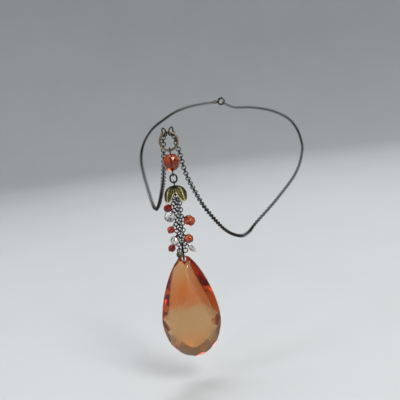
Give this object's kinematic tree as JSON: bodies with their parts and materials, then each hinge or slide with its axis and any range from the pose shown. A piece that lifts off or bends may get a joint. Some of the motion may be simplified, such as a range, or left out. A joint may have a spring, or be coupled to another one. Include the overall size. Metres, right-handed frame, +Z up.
{
  "type": "pendant necklace",
  "caption": "Fine link chain necklace with a ring, faceted bead, petal cap and chain tassel of small bead drops above a large faceted amber glass pear drop, chain slack as held up by its ring.",
  "frame": {"origin": "middle of the textured ring's top wire, where the pendant hangs from the two chain end rings", "axes": "+Z up, -Y the front of the pendant, +X to the right seen from the front"},
  "size_m": [0.1178, 0.2334, 0.1299],
  "materials": {
    "gunmetal": "dark plated, worn bright on the high spots",
    "antique_bronze": "antiqued, dark in the hollows",
    "antique_brass": "antiqued satin",
    "amber_glass": "faceted, polished",
    "honey_glass": "faceted, polished, transparent",
    "garnet_glass": "faceted, polished",
    "orange_glass": "faceted, polished",
    "clear_glass": "faceted, polished",
    "silver": "polished"
  },
  "bodies": {
    "chain": {"neck_chain_left": "gunmetal", "neck_chain_right": "gunmetal", "end_ring_left": "gunmetal", "end_ring_right": "gunmetal", "clasp_body": "gunmetal", "clasp_pin": "gunmetal", "clasp_ring": "gunmetal", "clasp_tail_ring": "gunmetal"},
    "left_loop": {"loop_chain_left": "gunmetal"},
    "right_loop": {"loop_chain_right": "gunmetal"},
    "lever": {"clasp_lever": "gunmetal"},
    "ring": {"textured_ring": "antique_bronze"},
    "bead": {"bead_pin": "gunmetal", "amber_bead": "amber_glass"},
    "connector": {"connector_link": "gunmetal"},
    "cap": {"cap_pin": "gunmetal", "petal_cap": "antique_brass"},
    "tassel": {"tassel_ring": "gunmetal"},
    "left_strand": {"strand_left": "gunmetal"},
    "right_strand": {"strand_right": "gunmetal"},
    "centre_strand": {"drop_strand": "gunmetal"},
    "bail": {"bail": "gunmetal"},
    "drop": {"glass_drop": "honey_glass"},
    "dangle_1": {"dangle_1_pin": "gunmetal", "dangle_1_bead": "garnet_glass"},
    "dangle_2": {"dangle_2_pin": "gunmetal", "dangle_2_bead": "clear_glass"},
    "dangle_3": {"dangle_3_pin": "gunmetal", "dangle_3_bead": "orange_glass"},
    "dangle_4": {"dangle_4_pin": "gunmetal", "dangle_4_bead": "orange_glass"},
    "dangle_5": {"dangle_5_pin": "gunmetal", "dangle_5_bead": "garnet_glass"},
    "dangle_6": {"dangle_6_pin": "gunmetal", "dangle_6_bead": "amber_glass"},
    "dangle_7": {"dangle_7_pin": "gunmetal", "dangle_7_bead": "silver"},
    "dangle_8": {"dangle_8_pin": "gunmetal", "dangle_8_bead": "silver"},
    "dangle_9": {"dangle_9_pin": "gunmetal", "dangle_9_bead": "antique_bronze"}
  },
  "joints": [
    {"name": "right_loop_sway", "type": "hinge", "parent": "chain", "child": "right_loop", "pos_m": [0.04374, 0.0904, -0.06491], "axis": [0.3528, 0.7578, -0.5489], "range_deg": [-8, 15]},
    {"name": "left_loop_sway", "type": "hinge", "parent": "chain", "child": "left_loop", "pos_m": [-0.02362, 0.10632, -0.02573], "axis": [-0.1941, 0.9535, -0.2305], "range_deg": [-15, 10]},
    {"name": "lever_open", "type": "hinge", "parent": "chain", "child": "lever", "pos_m": [0.0375, 0.223, 0.02006], "axis": [0, 1, 0], "range_deg": [0, 20], "stiffness_Nm_per_rad": 0.0001, "springref_deg": -5.73},
    {"name": "ring_swing", "type": "hinge", "parent": "chain", "child": "ring", "pos_m": [0, 0, 0], "axis": [1, 0, 0], "range_deg": [-50, 8]},
    {"name": "bead_swing", "type": "hinge", "parent": "ring", "child": "bead", "pos_m": [0, 0, -0.0041], "axis": [0, 1, 0], "range_deg": [-30, 30]},
    {"name": "connector_swing", "type": "hinge", "parent": "bead", "child": "connector", "pos_m": [0, 0, -0.0202], "axis": [0, 1, 0], "range_deg": [-25, 25]},
    {"name": "cap_swing", "type": "hinge", "parent": "connector", "child": "cap", "pos_m": [0, 0, -0.02318], "axis": [1, 0, 0], "range_deg": [-15, 15]},
    {"name": "tassel_swing", "type": "hinge", "parent": "cap", "child": "tassel", "pos_m": [0, -0.0028, -0.02839], "axis": [1, 0, 0], "range_deg": [-8, 0]},
    {"name": "left_strand_swing", "type": "hinge", "parent": "tassel", "child": "left_strand", "pos_m": [-0.0014, -0.0028, -0.03059], "axis": [1, 0, 0], "range_deg": [-12, 0]},
    {"name": "right_strand_swing", "type": "hinge", "parent": "tassel", "child": "right_strand", "pos_m": [0.0014, -0.0028, -0.03059], "axis": [1, 0, 0], "range_deg": [-12, 0]},
    {"name": "centre_strand_swing", "type": "hinge", "parent": "cap", "child": "centre_strand", "pos_m": [0, 0.0005, -0.02845], "axis": [1, 0, 0], "range_deg": [0, 15]},
    {"name": "bail_swing", "type": "hinge", "parent": "centre_strand", "child": "bail", "pos_m": [0, 0.0005, -0.05281], "axis": [1, 0, 0], "range_deg": [0, 15]},
    {"name": "drop_swing", "type": "hinge", "parent": "bail", "child": "drop", "pos_m": [0, 0.0005, -0.05968], "axis": [0, 1, 0], "range_deg": [-20, 20]},
    {"name": "dangle_1_swing", "type": "hinge", "parent": "left_strand", "child": "dangle_1", "pos_m": [-0.00239, -0.0028, -0.03293], "axis": [0.6428, 0.766, 0], "range_deg": [0, 20]},
    {"name": "dangle_2_swing", "type": "hinge", "parent": "left_strand", "child": "dangle_2", "pos_m": [-0.00239, -0.0028, -0.03611], "axis": [-0.866, 0.5, 0], "range_deg": [0, 20]},
    {"name": "dangle_3_swing", "type": "hinge", "parent": "right_strand", "child": "dangle_3", "pos_m": [0.00239, -0.0028, -0.03929], "axis": [0.6428, -0.766, 0], "range_deg": [0, 20]},
    {"name": "dangle_4_swing", "type": "hinge", "parent": "left_strand", "child": "dangle_4", "pos_m": [-0.00239, -0.0028, -0.04247], "axis": [-0.6428, 0.766, 0], "range_deg": [0, 20]},
    {"name": "dangle_5_swing", "type": "hinge", "parent": "left_strand", "child": "dangle_5", "pos_m": [-0.00245, -0.0028, -0.05165], "axis": [-0.342, 0.9397, 0], "range_deg": [0, 20]},
    {"name": "dangle_6_swing", "type": "hinge", "parent": "right_strand", "child": "dangle_6", "pos_m": [0.0014, -0.00379, -0.04724], "axis": [-0.5, -0.866, 0], "range_deg": [0, 20]},
    {"name": "dangle_7_swing", "type": "hinge", "parent": "left_strand", "child": "dangle_7", "pos_m": [-0.0014, -0.00379, -0.04724], "axis": [-0.866, 0.5, 0], "range_deg": [0, 20]},
    {"name": "dangle_8_swing", "type": "hinge", "parent": "right_strand", "child": "dangle_8", "pos_m": [0.00239, -0.0028, -0.05201], "axis": [0.6428, -0.766, 0], "range_deg": [0, 20]},
    {"name": "dangle_9_swing", "type": "hinge", "parent": "left_strand", "child": "dangle_9", "pos_m": [-0.0014, -0.0036, -0.05391], "axis": [-0.9848, 0.1736, 0], "range_deg": [0, 20]}
  ]
}
